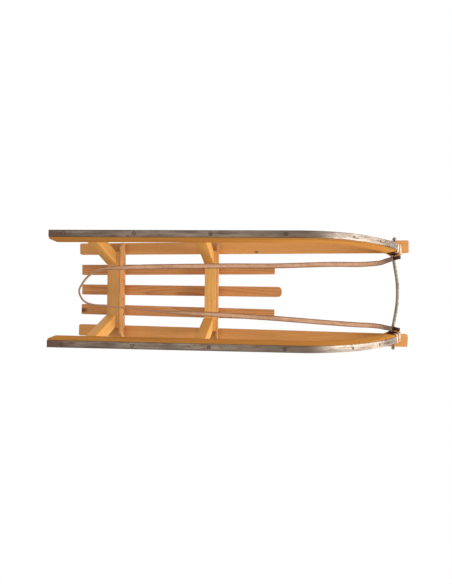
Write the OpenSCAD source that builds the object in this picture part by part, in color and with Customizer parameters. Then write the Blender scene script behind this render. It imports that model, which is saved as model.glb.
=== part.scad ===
// Wooden toboggan of the Davos kind: two steel-shod runners, two trestles,
// five seat slats, a steel rod between the runner tips and a leather pull strap.
// +X is the front, +Y the rider's left, +Z up. The origin is on the ground under the centre.

/* [Seat] */
// Length over the outer seat slats
sledge_len = 1100; // [1060:10:1160]
// Height of the seat's top above the ground
seat_h = 225; // [215:1:235]
// Width over the outer slats at the rear end
seat_rear_w = 307.5; // [302:0.5:312]
// Width over the outer slats at the front end
seat_front_w = 357; // [352:0.5:360]
// Thickness of every seat slat
slat_t = 12; // [11:1:14]
// Width of an outer slat at its rear end
outer_slat_rear_w = 37.5; // [36:0.5:39]
// Width of an outer slat at its front end
outer_slat_front_w = 42.5; // [41:0.5:44]
// Width of the two inner slats and the centre slat
inner_slat_w = 34; // [30:1:36]
// Length of the two inner slats
inner_slat_len = 645; // [600:5:700]
// Length of the centre slat
centre_slat_len = 668; // [620:4:720]
// Distance from the centre line to an inner slat's middle at its rear end
inner_slat_rear_y = 65.5; // [62:0.5:70]
// Distance from the centre line to an inner slat's middle at its front end
inner_slat_front_y = 76; // [70:1:80]

/* [Runners] */
// Distance between the runners' middles on the ground at the rear
rear_track = 299.5; // [295:0.5:304]
// Thickness of a runner
runner_t = 25; // [23:1:28]
// Height of a runner's wood above its shoe
runner_h = 37; // [35:1:40]
// Angle that a runner leans inwards
lean = 6.5; // [5.5:0.5:7.5]
// Angle that a runner spreads outwards to the front
toe_out = 0.58; // [0.4:0.01:0.7]
// Radius of the sole's upward curve at the front
toe_r = 485; // [470:5:500]
// Length of the curve, measured along the ground
toe_run = 377; // [370:1:384]
// Width of the steel shoe
shoe_w = 19.5; // [18:0.5:20]
// Thickness of the steel shoe
shoe_t = 3; // [2:0.5:4]

/* [Trestles] */
// Place of the rear crossbar along the sledge
rear_trestle_x = -422; // [-425:1:-419]
// Place of the front crossbar along the sledge
front_trestle_x = -110.5; // [-113:0.5:-108]
// Distance from the centre line to a rear leg's inner face under the crossbar
rear_leg_y = 80; // [78:1:82]
// Distance from the centre line to a front leg's inner face under the crossbar
front_leg_y = 86; // [84:1:88]
// Width of a crossbar along the sledge
crossbar_w = 36; // [34:1:38]
// Height of a crossbar
crossbar_h = 52; // [46:1:56]
// Width of a leg along the sledge
leg_w = 31; // [28:1:33]
// Width of a leg across the sledge
leg_d = 40; // [36:1:42]
// Distance that a leg's top stands behind the middle of its crossbar
leg_back = 5; // [3:1:6]
// Distance that a leg's foot stands behind its top
leg_rake = 17; // [12:1:20]
// Thickness of the board that stands on edge in front of each crossbar
board_t = 8; // [7:1:12]
// Height of that board
board_h = 45; // [40:1:46]

/* [Pull rod and strap] */
// Diameter of the rod between the runner tips
rod_d = 11; // [10:0.5:12]
// Diameter of the rod's threaded ends
thread_d = 6; // [5.5:0.5:7]
// Distance that the rod bows forward at its middle
rod_bow = 13; // [8:1:16]
// Length over the rod's threaded ends
rod_len = 368; // [366:1:374]
// Width of the leather strap
strap_w = 14; // [12:1:15]
// Thickness of the leather strap
strap_t = 3; // [2:0.5:3.5]

/* [Hidden] */
$fn = 48;

wood_seat = [0.80, 0.55, 0.32];
wood_frame = [0.84, 0.60, 0.34];
steel = [0.55, 0.52, 0.48];
bright_steel = [0.80, 0.78, 0.72];
leather = [0.62, 0.42, 0.28];

half_len = sledge_len / 2;
slat_z = seat_h - slat_t;
outer_slat_w = [outer_slat_rear_w, outer_slat_front_w];
trestle_x = [rear_trestle_x, front_trestle_x];
leg_top_y = [rear_leg_y, front_leg_y];
reach = 400;            // longer than any one piece is high or wide
slit = 0.1;             // clearance between a bore and what runs through it

// Runner: its tip, the centre of its curve and the plane that it leans in
tip_setback = 38;
tip_x = half_len - tip_setback;
arc_x = tip_x - toe_run;
runner_top = shoe_t + runner_h;
shoe_end_angle = 44.5;
shoe_shift = 2;         // distance that a shoe lies outwards of its runner's middle
end_slope = 0.14;       // forward slope of the runners' rear ends

// Rod: its place in the runner tips, its shoulders and the half-width of its bow
rod_x = tip_x - 22;
rod_z = slat_z - 23;
rod_shoulder_y = 123;
bow_y = 106;
bow_power = 1.25;
shoulder_inset = 0.2;   // the rod's straight ends are this much thinner on the radius
lap = 1;                // overlap between the bowed and the straight parts
washer_d = 12;
washer_t = 1.6;
nut_flats = 10;
nut_t = 5;
thread_proud = 2.5;     // length of thread that stands out of a nut
washer_y = rod_len / 2 - nut_t - washer_t - thread_proud;

// Screws: head, shank, slot, pointed end and lengths
head_r = 4;
shank_r = 2;
head_h = 2.4;
slot_w = 1;
slot_h = 0.9;
point_len = 3;
point_r = 0.6;
shoe_screw_len = 24;
tip_screw_len = 25;
slat_screw_len = 40;
board_screw_len = 30;
shoe_screw_x = [-510, -315, -105, 103];     // on the flat part of the sole
shoe_screw_angle = [20, 32.6, 35.7];        // round the curve
board_screw_y = [30, 80];
board_screw_drop = 20;  // distance of the board's screws below the slats
tip_screw_inset = [9, 4];   // behind the tip and outwards of the runner's middle

// Crossbars: how far they stand out beyond the legs. Boards: inset from the outer slats' edges
// and the corners that are cut off below
crossbar_proud = 3;
board_inset = 2;
board_cut = [16, 22];

// Mortises and pegs
foot_tenon = [22, 10, 25];
foot_tenon_inset = 8;   // from the runner's inner face
top_tenon = [13, 20, 34];
peg_r = 4;
peg_len = 27;
peg_rise = 17;

// Strap ends: middle of the loop round the rod and how far it reaches forward,
// and the two turns round the runner's tip
loop_y = 115.5;
loop_w = 17;
loop_reach = 12;
turn_angle = [46, 48.9];
turn_rise = 33;
turn_bridge = 9;        // height of the leather that joins the two turns
wood_gap = 0.3;         // clearance between the leather and the wood

// Middle of the left runner at a place along the sledge and a height
function runner_y(x, z) = rear_track / 2 + (x + half_len) * tan(toe_out) - z * tan(lean);
function outer_slat_y(x) =
    let (rear = (seat_rear_w - outer_slat_w[0]) / 2, front = (seat_front_w - outer_slat_w[1]) / 2)
    rear + (front - rear) * (x + half_len) / sledge_len;
inner_slat_x = 8 - half_len;        // rear ends of the inner slats and of the centre slat
centre_slat_x = 9 - half_len;
outer_slat_r = 5;                   // corner radii seen from above
inner_slat_r = 3;
centre_slat_front_r = 14;
inner_slat_angle = atan((inner_slat_front_y - inner_slat_rear_y) / inner_slat_len);
outer_slat_angle = atan((outer_slat_y(half_len) - outer_slat_y(-half_len)) / sledge_len);
function inner_slat_y(x) = inner_slat_rear_y + (x - inner_slat_x) * tan(inner_slat_angle);

// The pull strap's route: x, y, z and the angle that the band is rolled to.
// It hangs behind the rod, lies on the ground and turns back under the rear of the seat.
strap_route = [
    [480, -114, 190, 0], [476, -113, 176, 0], [467, -110, 152, 0], [453, -107, 124, 0],
    [433, -101, 94, 0], [407, -94, 62, 0], [376, -85, 34, 0], [340, -80, 14, 0],
    [300, -77, 4, 0], [218, -76, 2, 0], [71, -70, 2, 0], [-76, -68, 2, 0],
    [-269, -63, 2, 0], [-340, -60, 5, 30], [-392, -57, 7, 50], [-420, -50, 8, 55],
    [-442, -35, 8, 55], [-458, -14, 8, 55], [-466, 4, 8, 55], [-462, 21, 8, 60],
    [-450, 35, 8, 65], [-430, 43, 8, 70], [-390, 47, 8, 78], [-351, 50, 8, 82],
    [-319, 52, 8, 80], [-286, 56, 8, 75], [-231, 60, 7.5, 60], [-157, 63, 5.5, 35],
    [-83, 66, 3, 10], [71, 74, 2, 0], [218, 84, 2, 0], [300, 89, 4, 0],
    [340, 91, 14, 0], [376, 95, 34, 0], [407, 101, 62, 0], [433, 106, 94, 0],
    [453, 110, 124, 0], [467, 112, 152, 0], [476, 113, 176, 0], [480, 114, 190, 0]
];
strap_rings = 79;

// ---- shared shapes ----

// The space between two leaning side faces, t apart, with its middle shifted outwards from a runner's
module runner_plane(t, shift = 0) {
    translate([-half_len, rear_track / 2, 0])
        rotate([0, 0, toe_out])
            rotate([lean, 0, 0])
                translate([-reach, shift - t / 2, -reach / 2])
                    cube([2 * sledge_len, t, 2 * reach]);
}

// Side outline of a runner layer that lies between two heights above the sole
module runner_outline(low, high, end_x) {
    polygon([[-half_len, low], [arc_x, low], [arc_x, high], [end_slope * (high - low) - half_len, high]]);
    intersection() {
        translate([arc_x, toe_r])
            difference() {
                circle(toe_r - low, $fn = 240);
                circle(toe_r - high, $fn = 240);
            }
        translate([arc_x, 0])
            square([end_x - arc_x, slat_z]);
    }
}

module runner_layer(low, high, end_x, t, shift = 0) {
    intersection() {
        translate([0, reach, 0])
            rotate([90, 0, 0])
                linear_extrude(reach)
                    runner_outline(low, high, end_x);
        runner_plane(t, shift);
    }
}

// Solid through a list of rings that all have the same number of points
module sweep(rings) {
    sides = len(rings[0]);
    last = len(rings) - 1;
    polyhedron([for (ring = rings) each ring], concat(
        [[for (k = [0:sides - 1]) k]],
        [for (n = [0:last - 1], k = [0:sides - 1])
            let (a = n * sides + k, b = n * sides + (k + 1) % sides)
                each [[a, a + sides, b + sides], [a, b + sides, b]]],
        [[for (k = [sides - 1:-1:0]) last * sides + k]]));
}

// Screw with a slotted countersunk head: its face is at z = 0 and its tip points up
module screw(len) {
    difference() {
        union() {
            cylinder(h = head_h, r1 = head_r, r2 = shank_r);
            cylinder(h = len - point_len, r = shank_r);
            translate([0, 0, len - point_len])
                cylinder(h = point_len, r1 = shank_r, r2 = point_r);
        }
        translate([-head_r, -slot_w / 2, -1])
            cube([2 * head_r, slot_w, slot_h + 1]);
    }
}

// The hole that the same screw leaves in the pieces that it passes through
module screw_hole(len) {
    flare = (head_r - shank_r) / head_h;
    translate([0, 0, -1])
        cylinder(h = head_h + 1, r1 = head_r + flare, r2 = shank_r);
    cylinder(h = len, r = shank_r);
}

// Places children at every shoe screw of the left runner, with Z pointing into the wood
module at_shoe_screws() {
    for (x = shoe_screw_x)
        translate([x, runner_y(x, 0) + shoe_shift, 0])
            children();
    for (a = shoe_screw_angle)
        let (x = arc_x + toe_r * sin(a), z = toe_r * (1 - cos(a)))
            translate([x, runner_y(x, z) + shoe_shift, z])
                rotate([0, -a, 0])
                    children();
}

// Places children at the seat's screws, with Z pointing down into the frame
module at_slat_screws() {
    for (x = trestle_x) {
        translate([x, 0, seat_h])
            mirror([0, 0, 1])
                children();
        for (side = [-1, 1]) {
            translate([x, side * inner_slat_y(x), seat_h])
                mirror([0, 0, 1])
                    children();
            let (board_x = x + (crossbar_w + board_t) / 2)
                translate([board_x, side * outer_slat_y(board_x), seat_h])
                    mirror([0, 0, 1])
                        children();
        }
    }
}

module at_tip_screws() {
    for (side = [-1, 1])
        let (x = tip_x - tip_screw_inset[0])
            translate([x, side * (runner_y(x, slat_z) + tip_screw_inset[1]), seat_h])
                mirror([0, 0, 1])
                    children();
}

// Places children at the screws that hold a board to its crossbar, with Z pointing to the rear
module at_board_screws(i) {
    for (side = [-1, 1], y = board_screw_y)
        translate([trestle_x[i] + crossbar_w / 2 + board_t, side * y, slat_z - board_screw_drop])
            rotate([0, -90, 0])
                children();
}

// Places children at a crossbar's pegs, with Z pointing forward
module at_pegs(i) {
    for (side = [-1, 1])
        translate([trestle_x[i] - crossbar_w / 2, side * (leg_top_y[i] + leg_d / 2),
                   slat_z - crossbar_h + peg_rise])
            rotate([0, 90, 0])
                children();
}

// ---- runners and shoes ----

module runner() {
    color(wood_frame)
        difference() {
            runner_layer(shoe_t, runner_top, tip_x, runner_t);
            at_shoe_screws() screw_hole(shoe_screw_len);
            at_tip_screws() screw_hole(tip_screw_len);
            translate([rod_x, 0, rod_z])
                rotate([-90, 0, 0])
                    cylinder(h = reach, r = thread_d / 2 + slit);
            for (i = [0, 1]) foot_mortise(i);
        }
}

module runner_shoe() {
    color(steel)
        difference() {
            runner_layer(0, shoe_t, arc_x + toe_r * sin(shoe_end_angle), shoe_w, shoe_shift);
            at_shoe_screws() screw_hole(shoe_screw_len);
        }
}

module shoe_screws() {
    color(bright_steel)
        at_shoe_screws() screw(shoe_screw_len);
}

// ---- trestles ----

leg_top_z = slat_z - crossbar_h;
leg_tilt = atan(leg_rake / (leg_top_z - runner_top));
function leg_x(i) = trestle_x[i] - leg_back;
function foot_x(i) = leg_x(i) - leg_rake;
function foot_y(i) = runner_y(foot_x(i), runner_top) - runner_t / 2;

module foot_mortise(i) {
    translate([foot_x(i) - foot_tenon[0] / 2, foot_y(i) + foot_tenon_inset, runner_top - foot_tenon[2]])
        cube([foot_tenon[0], foot_tenon[1], foot_tenon[2] + 1]);
}

module top_mortise(i) {
    translate([leg_x(i) - top_tenon[0] / 2, leg_top_y[i] + (leg_d - top_tenon[1]) / 2, leg_top_z - 1])
        cube([top_tenon[0], top_tenon[1], top_tenon[2] + 1]);
}

// Slanted post of the left side, with a tenon in the runner and one in the crossbar
module leg(i) {
    slope = (foot_y(i) - leg_top_y[i]) / (leg_top_z - runner_top) * cos(leg_tilt);
    over = 150;     // how far the untrimmed post runs on below
    lead = 20;      // how far it runs on above
    color(wood_frame)
        difference() {
            union() {
                intersection() {
                    translate([leg_x(i), leg_top_y[i], leg_top_z])
                        rotate([0, leg_tilt, 0])
                            rotate([90, 0, 90])
                                linear_extrude(leg_w, center = true)
                                    polygon([[over * slope, -over], [over * slope + leg_d, -over],
                                             [leg_d - lead * slope, lead], [-lead * slope, lead]]);
                    translate([trestle_x[i] - reach / 2, 0, runner_top])
                        cube([reach, reach, leg_top_z - runner_top]);
                    translate([0, -reach, 0])
                        runner_plane(runner_t + 2 * reach);
                }
                intersection() {
                    foot_mortise(i);
                    translate([-sledge_len, 0, 0])
                        cube([2 * sledge_len, reach, runner_top]);
                }
                intersection() {
                    top_mortise(i);
                    translate([-sledge_len, 0, leg_top_z])
                        cube([2 * sledge_len, reach, reach]);
                }
            }
            at_pegs(i) cylinder(h = peg_len, r = peg_r);
        }
}

module crossbar(i) {
    half = leg_top_y[i] + leg_d + crossbar_proud;
    color(wood_frame)
        difference() {
            translate([trestle_x[i] - crossbar_w / 2, -half, leg_top_z])
                cube([crossbar_w, 2 * half, crossbar_h]);
            top_mortise(i);
            mirror([0, 1, 0]) top_mortise(i);
            at_pegs(i) cylinder(h = peg_len, r = peg_r);
            at_slat_screws() screw_hole(slat_screw_len);
            at_board_screws(i) screw_hole(board_screw_len);
        }
}

// Board on edge that carries all five slats, with its lower corners cut off
module seat_board(i) {
    x = trestle_x[i] + crossbar_w / 2;
    half = outer_slat_y(x) + outer_slat_w[0] / 2 - board_inset;
    color(wood_seat)
        difference() {
            translate([x, 0, slat_z - board_h])
                rotate([90, 0, 90])
                    linear_extrude(board_t)
                        polygon([[-half, board_h], [-half, board_cut[1]], [board_cut[0] - half, 0],
                                 [half - board_cut[0], 0], [half, board_cut[1]], [half, board_h]]);
            at_slat_screws() screw_hole(slat_screw_len);
            at_board_screws(i) screw_hole(board_screw_len);
        }
}

module board_screws() {
    color(bright_steel)
        for (i = [0, 1])
            at_board_screws(i) screw(board_screw_len);
}

module leg_pegs() {
    color(wood_seat)
        for (i = [0, 1])
            at_pegs(i) cylinder(h = peg_len, r = peg_r);
}

// ---- seat ----

// Slat from x = 0 along +X, with its own width and corner radius at each end
module slat(len, w, r) {
    linear_extrude(slat_t)
        hull()
            for (side = [-1, 1]) {
                translate([r[0], side * (w[0] / 2 - r[0])])
                    circle(r[0]);
                translate([len - r[1], side * (w[1] / 2 - r[1])])
                    circle(r[1]);
            }
}

module outer_slat() {
    color(wood_seat)
        difference() {
            translate([-half_len, outer_slat_y(-half_len), slat_z])
                rotate([0, 0, outer_slat_angle])
                    slat(sledge_len, outer_slat_w, [outer_slat_r, outer_slat_r]);
            at_slat_screws() screw_hole(slat_screw_len);
            at_tip_screws() screw_hole(tip_screw_len);
        }
}

module inner_slat() {
    color(wood_seat)
        difference() {
            translate([inner_slat_x, inner_slat_rear_y, slat_z])
                rotate([0, 0, inner_slat_angle])
                    slat(inner_slat_len, [inner_slat_w, inner_slat_w], [inner_slat_r, inner_slat_r]);
            at_slat_screws() screw_hole(slat_screw_len);
        }
}

module centre_slat() {
    color(wood_seat)
        difference() {
            translate([centre_slat_x, 0, slat_z])
                slat(centre_slat_len, [inner_slat_w, inner_slat_w], [inner_slat_r, centre_slat_front_r]);
            at_slat_screws() screw_hole(slat_screw_len);
        }
}

module slat_screws() {
    color(bright_steel)
        at_slat_screws() screw(slat_screw_len);
}

module tip_screws() {
    color(bright_steel)
        at_tip_screws() screw(tip_screw_len);
}

// ---- pull rod ----

// Middle line of the rod's bowed part, and the slope of that line, at a distance y from the centre
function bow_x(y) = rod_bow * pow(1 - y * y / (bow_y * bow_y), bow_power);
function bow_slope(y) =
    -2 * rod_bow * bow_power * y / (bow_y * bow_y) * pow(1 - y * y / (bow_y * bow_y), bow_power - 1);

// Bowed bar with shouldered, threaded ends that pass through the runner tips
module pull_rod() {
    sides = 20;
    steps = 28;
    rings = [for (n = [0:steps])
        let (y = bow_y * (2 * n / steps - 1), across = unit([1, -bow_slope(y), 0]))
            [for (k = [0:sides - 1])
                [bow_x(y), y, 0] + across * rod_d / 2 * cos(360 * k / sides)
                    - [0, 0, rod_d / 2 * sin(360 * k / sides)]]];
    color(bright_steel)
        translate([rod_x, 0, rod_z]) {
            sweep(rings);
            for (side = [-1, 1])
                rotate([-90 * side, 0, 0])
                    translate([0, 0, bow_y - lap]) {
                        cylinder(h = rod_shoulder_y - bow_y + lap, r = rod_d / 2 - shoulder_inset);
                        cylinder(h = rod_len / 2 - bow_y + lap, r = thread_d / 2);
                    }
        }
}

module rod_washers() {
    color(steel)
        for (side = [-1, 1])
            translate([rod_x, side * (washer_y + washer_t / 2), rod_z])
                rotate([90, 0, 0])
                    difference() {
                        cylinder(h = washer_t, r = washer_d / 2, center = true);
                        cylinder(h = 2 * washer_t, r = thread_d / 2 + slit, center = true);
                    }
}

module rod_nuts() {
    color(steel)
        for (side = [-1, 1])
            translate([rod_x, side * (washer_y + washer_t + nut_t / 2), rod_z])
                rotate([90, 0, 0])
                    difference() {
                        cylinder(h = nut_t, d = nut_flats / cos(30), center = true, $fn = 6);
                        cylinder(h = 2 * nut_t, r = thread_d / 2 + slit, center = true);
                    }
}

// ---- strap ----

// Side outline of the loop round the rod, of radius r about the rod and about its front end
module loop_outline(r) {
    circle(r);
    translate([0, -r])
        square([loop_reach, 2 * r]);
    translate([loop_reach, 0])
        circle(r);
}

// Leather round a runner's tip between two heights above the sole, w wide, at an angle of the curve
module tip_turn(low, a, w) {
    intersection() {
        runner_layer(low, turn_rise, tip_x + strap_w, runner_t + 2 * (wood_gap + strap_t));
        translate([arc_x, 0, toe_r])
            rotate([0, -a, 0])
                translate([-w / 2, 0, -2 * toe_r])
                    cube([w, reach, 2 * toe_r]);
    }
}

// The strap's end: a loose loop round the rod and two turns round the runner's tip
module strap_end() {
    span = toe_r * (turn_angle[1] - turn_angle[0]) * PI / 180;
    color(leather) {
        translate([rod_x, loop_y - loop_w / 2, rod_z])
            rotate([90, 0, 0])
                mirror([0, 0, 1])
                    linear_extrude(loop_w)
                        difference() {
                            loop_outline(rod_d / 2 + slit + strap_t);
                            loop_outline(rod_d / 2 + slit);
                        }
        difference() {
            union() {
                for (a = turn_angle)
                    tip_turn(shoe_t - wood_gap - strap_t, a, strap_w);
                tip_turn(turn_rise - turn_bridge, (turn_angle[0] + turn_angle[1]) / 2, span);
            }
            runner_layer(shoe_t - wood_gap, 2 * runner_top, tip_x + strap_w, runner_t + 2 * wood_gap);
            translate([rod_x, 0, rod_z])
                rotate([-90, 0, 0])
                    cylinder(h = reach, r = rod_d / 2 + slit);
        }
    }
}

// Smooth curve through the route's points, by Catmull-Rom segments
function route_point(i) = strap_route[min(max(i, 0), len(strap_route) - 1)];
function spline(a, b, c, d, t) =
    0.5 * (2 * b + (c - a) * t + (2 * a - 5 * b + 4 * c - d) * t * t
           + (3 * b - a - 3 * c + d) * t * t * t);
function route_at(u) =
    let (i = min(floor(u), len(strap_route) - 2))
    spline(route_point(i - 1), route_point(i), route_point(i + 1), route_point(i + 2), u - i);
function unit(v) = v / norm(v);
function xyz(p) = [p[0], p[1], p[2]];

// Route parameters that divide the strap into rings of about equal spacing
fine = 6;
fine_u = [for (k = [0:fine * (len(strap_route) - 1)]) k / fine];
fine_len = [for (k = 0, s = 0; k < len(fine_u);
    s = s + (k + 1 < len(fine_u) ? norm(xyz(route_at(fine_u[k + 1])) - xyz(route_at(fine_u[k]))) : 0),
    k = k + 1) s];
strap_len = fine_len[len(fine_len) - 1];
ring_u = [for (n = [0:strap_rings - 1]) lookup(n * strap_len / (strap_rings - 1),
    [for (k = [0:len(fine_u) - 1]) [fine_len[k], fine_u[k]]])];

// The band's section: a flat bar with its corners cut off
strap_section = let (w = strap_w / 2, t = strap_t / 2, c = 0.8)
    [[w, t - c], [w - c, t], [c - w, t], [-w, t - c], [-w, c - t], [c - w, -t], [w - c, -t], [w, c - t]];

function strap_ring(u) =
    let (p = route_at(u),
         ahead = unit(xyz(route_at(min(u + 0.1, len(strap_route) - 1))) - xyz(route_at(max(u - 0.1, 0)))),
         side = unit(cross([0, 0, 1], ahead)),
         face = cross(ahead, side),
         roll = p[3])
    [for (q = strap_section)
        xyz(p) + side * (q[0] * cos(roll) - q[1] * sin(roll)) + face * (q[0] * sin(roll) + q[1] * cos(roll))];

module pull_strap() {
    color(leather)
        sweep([for (u = ring_u) strap_ring(u)]);
}

module on_right() {
    mirror([0, 1, 0]) children();
}

runner();  // runner_left
on_right() runner();  // runner_right
runner_shoe();  // runner_shoe_left
on_right() runner_shoe();  // runner_shoe_right
shoe_screws();  // shoe_screws_left
on_right() shoe_screws();  // shoe_screws_right
leg(0);  // rear_leg_left
on_right() leg(0);  // rear_leg_right
leg(1);  // front_leg_left
on_right() leg(1);  // front_leg_right
crossbar(0);  // rear_crossbar
crossbar(1);  // front_crossbar
seat_board(0);  // rear_seat_board
seat_board(1);  // front_seat_board
outer_slat();  // outer_slat_left
on_right() outer_slat();  // outer_slat_right
inner_slat();  // inner_slat_left
on_right() inner_slat();  // inner_slat_right
centre_slat();
slat_screws();
tip_screws();
board_screws();
leg_pegs();
pull_rod();
rod_washers();
rod_nuts();
strap_end();  // strap_end_left
on_right() strap_end();  // strap_end_right
pull_strap();
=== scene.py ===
"""Looks of a wooden toboggan: camera, strap, wood, steel, leather, floor and light.

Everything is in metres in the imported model's frame: +X is the front, +Y the rider's left, +Z up.
"""
import math
import random
from contextlib import contextmanager

import bmesh
import bpy
from mathutils import Matrix, Vector, noise


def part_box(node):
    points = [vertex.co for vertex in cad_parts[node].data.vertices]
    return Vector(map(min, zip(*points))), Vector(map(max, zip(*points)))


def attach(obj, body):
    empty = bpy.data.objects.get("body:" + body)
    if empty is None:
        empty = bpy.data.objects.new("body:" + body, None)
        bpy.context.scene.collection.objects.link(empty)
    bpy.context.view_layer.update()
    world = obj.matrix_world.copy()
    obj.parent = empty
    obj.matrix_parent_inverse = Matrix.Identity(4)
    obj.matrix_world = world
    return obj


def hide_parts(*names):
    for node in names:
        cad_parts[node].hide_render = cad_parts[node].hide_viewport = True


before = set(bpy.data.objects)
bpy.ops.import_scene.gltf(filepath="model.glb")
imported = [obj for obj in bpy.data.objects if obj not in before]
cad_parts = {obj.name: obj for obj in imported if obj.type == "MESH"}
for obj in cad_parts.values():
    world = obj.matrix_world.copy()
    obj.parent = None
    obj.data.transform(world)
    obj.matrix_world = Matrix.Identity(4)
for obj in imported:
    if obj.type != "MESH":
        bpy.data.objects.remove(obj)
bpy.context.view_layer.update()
scene = bpy.context.scene
MM = 0.001
CLOSE = 0.1 * MM  # places nearer than this count as the same

# ---- sizes shared with the CAD model ----

HALF_LEN = 0.550
SEAT_TOP = 0.225
SLAT_T = 0.012
SLAT_Z = SEAT_TOP - SLAT_T  # the slats' lower faces
CROSSBAR_H = 0.052
LEG_TOP = SLAT_Z - CROSSBAR_H

# Runners: each leans in towards its top, and the pair spreads towards the front
REAR_TRACK = 0.2995  # between the middles of the soles at the rear end
RUNNER_T = 0.025
RUNNER_H = 0.037
LEAN = math.radians(6.5)
TOE_OUT = math.radians(0.58)
TOE_R = 0.485  # radius of the sole's curve
TIP_X = 0.512
ARC_X = TIP_X - 0.377  # where the curve starts
END_SLOPE = 0.14  # how far the rear end slopes forward for its height

# Steel shoes: a little narrower than the runners and nearer to their outer faces
SHOE_W = 0.0195
SHOE_SHIFT = 0.002
SHOE_T = 0.003
SHOE_END = math.radians(44.5)
RUNNER_TOP = SHOE_T + RUNNER_H
SHOE_SCREW_X = (-0.510, -0.315, -0.105, 0.103)
SHOE_SCREW_ANGLE = (20, 32.6, 35.7)

# Rod: bowed forward between its straight, thinner ends
ROD_X = TIP_X - 0.022
ROD_Z = SLAT_Z - 0.023
ROD_R = 0.0055
ROD_BOW = 0.013
ROD_BOW_Y = 0.106
ROD_BOW_POWER = 1.25
ROD_SHOULDER_Y = 0.123
ROD_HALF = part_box("pull_rod")[1].y
THREAD_R = 0.003

# Screws
HEAD_R = 0.004
HEAD_H = 0.0024
SHANK_R = 0.002

STRAP_W = 0.014
STRAP_T = 0.003

# The pull strap's route: x, y, z and the angle in degrees that the band is rolled to
STRAP_ROUTE = (
    (0.480, -0.114, 0.190, 0), (0.476, -0.113, 0.176, 0), (0.467, -0.110, 0.152, 0),
    (0.453, -0.107, 0.124, 0), (0.433, -0.101, 0.094, 0), (0.407, -0.094, 0.062, 0),
    (0.376, -0.085, 0.034, 0), (0.340, -0.080, 0.014, 0), (0.300, -0.077, 0.004, 0),
    (0.218, -0.076, 0.002, 0), (0.071, -0.070, 0.002, 0), (-0.076, -0.068, 0.002, 0),
    (-0.269, -0.063, 0.002, 0), (-0.340, -0.060, 0.005, 30), (-0.392, -0.057, 0.007, 50),
    (-0.420, -0.050, 0.008, 55), (-0.442, -0.035, 0.008, 55), (-0.458, -0.014, 0.008, 55),
    (-0.466, 0.004, 0.008, 55), (-0.462, 0.021, 0.008, 60), (-0.450, 0.035, 0.008, 65),
    (-0.430, 0.043, 0.008, 70), (-0.390, 0.047, 0.008, 78), (-0.351, 0.050, 0.008, 82),
    (-0.319, 0.052, 0.008, 80), (-0.286, 0.056, 0.008, 75), (-0.231, 0.060, 0.0075, 60),
    (-0.157, 0.063, 0.0055, 35), (-0.083, 0.066, 0.003, 10), (0.071, 0.074, 0.002, 0),
    (0.218, 0.084, 0.002, 0), (0.300, 0.089, 0.004, 0), (0.340, 0.091, 0.014, 0), (0.376, 0.095, 0.034, 0),
    (0.407, 0.101, 0.062, 0), (0.433, 0.106, 0.094, 0), (0.453, 0.110, 0.124, 0), (0.467, 0.112, 0.152, 0),
    (0.476, 0.113, 0.176, 0), (0.480, 0.114, 0.190, 0),
)


# ---- camera ----

CAMERA_PLACE = Vector((-0.060, 0.0084, -0.977))
CAMERA_AIM = Vector((-0.060, 0.003, 0.100))
CAMERA_ROLL = math.radians(0.745)
CAMERA_LENS = 21.95


def add_object(name, data):
    """Puts a mesh, camera or light in the scene."""
    obj = bpy.data.objects.new(name, data)
    scene.collection.objects.link(obj)
    return obj


def make_camera():
    """Looks up at the underside from below, with the front end to the right."""
    data = bpy.data.cameras.new("camera")
    data.sensor_width = 36
    data.lens = CAMERA_LENS
    cam = add_object("camera", data)
    back = (CAMERA_PLACE - CAMERA_AIM).normalized()
    right = Vector((math.cos(CAMERA_ROLL), -math.sin(CAMERA_ROLL), 0))
    right = (right - back * right.dot(back)).normalized()
    axes = Matrix((right, back.cross(right), back)).transposed()
    cam.matrix_world = Matrix.Translation(CAMERA_PLACE) @ axes.to_4x4()
    scene.camera = cam


make_camera()


# ---- mesh helpers ----

def mesh_object(name, verts, faces):
    mesh = bpy.data.meshes.new(name)
    mesh.from_pydata([tuple(v) for v in verts], [], faces)
    mesh.update()
    return add_object(name, mesh)


def from_bmesh(name, bm):
    """New object from a bmesh, with every face outwards."""
    mesh = bpy.data.meshes.new(name)
    bmesh.ops.recalc_face_normals(bm, faces=bm.faces[:])
    bm.to_mesh(mesh)
    bm.free()
    return add_object(name, mesh)


@contextmanager
def editing(obj):
    """An object's mesh as a bmesh, written back at the end."""
    bm = bmesh.new()
    bm.from_mesh(obj.data)
    yield bm
    bm.to_mesh(obj.data)
    bm.free()


def settle(obj):
    """Turns an object's modifiers into plain mesh."""
    graph = bpy.context.evaluated_depsgraph_get()
    mesh = bpy.data.meshes.new_from_object(obj.evaluated_get(graph))
    obj.modifiers.clear()
    obj.data = mesh


def bevel(obj, width):
    """Rounds an object's sharp edges."""
    mod = obj.modifiers.new("bevel", "BEVEL")
    mod.width = width
    mod.segments = 3
    mod.limit_method = "ANGLE"
    mod.angle_limit = math.radians(35)
    settle(obj)


def cut(obj, cutters):
    """Takes the cutters away from the object and deletes them."""
    cutter = join("cutters", cutters)
    mod = obj.modifiers.new("cut", "BOOLEAN")
    mod.operation = "DIFFERENCE"
    mod.solver = "EXACT"
    mod.object = cutter
    settle(obj)
    bpy.data.objects.remove(cutter)


def dress(obj, node, material, angle=30):
    """Gives a piece its material and body, shades it smooth below an angle and hides its CAD node."""
    obj.data.shade_smooth()
    obj.data.set_sharp_from_angle(angle=math.radians(angle))
    obj.data.materials.clear()
    obj.data.materials.append(material)
    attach(obj, "root")
    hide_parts(node)


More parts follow.
